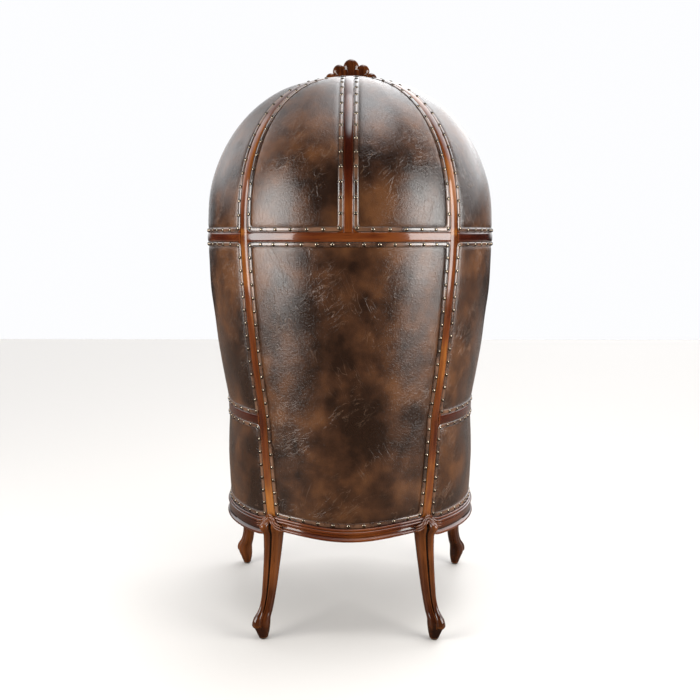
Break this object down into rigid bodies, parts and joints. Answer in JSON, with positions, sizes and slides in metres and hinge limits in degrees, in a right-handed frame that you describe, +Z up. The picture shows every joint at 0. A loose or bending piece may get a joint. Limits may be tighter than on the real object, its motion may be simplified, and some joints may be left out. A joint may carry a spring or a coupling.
{
  "type": "hall porter chair",
  "caption": "Tall hooded hall chair with a domed leather canopy, deep tufted interior, loose seat cushion, wood show-frame with nailed leather panels and cabriole legs.",
  "frame": {"origin": "centre of the bounding box's base, on the floor", "axes": "+Z up, -Y the way the sitter faces, +X the sitter's left"},
  "size_m": [0.8414, 0.7688, 1.683],
  "materials": {
    "show_wood": "polished mahogany",
    "leg_wood": "polished mahogany, darker",
    "frame_wood": "plain sawn hardwood",
    "panel_leather": "glossy mottled brown",
    "lining_leather": "glossy mottled brown, buttoned",
    "seat_leather": "glossy mottled brown",
    "gimp_leather": "polished brown with dark edges",
    "nail_brass": "dark antique",
    "glide_metal": "plain",
    "steel": "plain",
    "webbing": "jute",
    "dust_cloth": "black cambric"
  },
  "bodies": {
    "chair": {"rear_seat_rail": "show_wood", "side_seat_rail_left": "show_wood", "side_seat_rail_right": "show_wood", "front_seat_rail": "show_wood", "rear_leg_left": "leg_wood", "rear_leg_right": "leg_wood", "front_leg_left": "leg_wood", "front_leg_right": "leg_wood", "rear_stile_left": "show_wood", "rear_stile_right": "show_wood", "rear_band": "show_wood", "side_band_left": "show_wood", "side_band_right": "show_wood", "centre_rib": "show_wood", "dome_rib_left": "show_wood", "dome_rib_right": "show_wood", "crown_rib": "show_wood", "dome_boss": "show_wood", "arm_rail_left": "show_wood", "arm_rail_right": "show_wood", "arch_left": "show_wood", "arch_right": "show_wood", "wing_post_left": "show_wood", "wing_post_right": "show_wood", "arm_support_left": "show_wood", "arm_support_right": "show_wood", "arm_cap_left": "show_wood", "arm_cap_right": "show_wood", "crest": "show_wood", "back_panel": "panel_leather", "dome_panel_rear_left": "panel_leather", "dome_panel_rear_right": "panel_leather", "dome_panel_side_left": "panel_leather", "dome_panel_side_right": "panel_leather", "side_panel_upper_left": "panel_leather", "side_panel_upper_right": "panel_leather", "side_panel_lower_left": "panel_leather", "side_panel_lower_right": "panel_leather", "inside_back": "lining_leather", "inside_wing_left": "lining_leather", "inside_wing_right": "lining_leather", "inside_arm_left": "lining_leather", "inside_arm_right": "lining_leather", "inside_hood_left": "lining_leather", "inside_hood_right": "lining_leather", "arm_pad_left": "seat_leather", "arm_pad_right": "seat_leather", "seat_frame": "frame_wood", "frame_screws": "steel", "seat_webbing": "webbing", "seat_springs": "steel", "seat_deck": "seat_leather", "dust_cover": "dust_cloth", "gimp_back": "gimp_leather", "gimp_sides": "gimp_leather", "gimp_hood": "gimp_leather", "upholstery_nails": "nail_brass", "tuft_buttons": "lining_leather", "foot_glides": "glide_metal"},
    "cushion": {"seat_cushion": "seat_leather"}
  },
  "joints": [
    {"name": "cushion_slide", "type": "slide", "parent": "chair", "child": "cushion", "axis": [0, -1, 0], "range_m": [0, 0.28]}
  ]
}
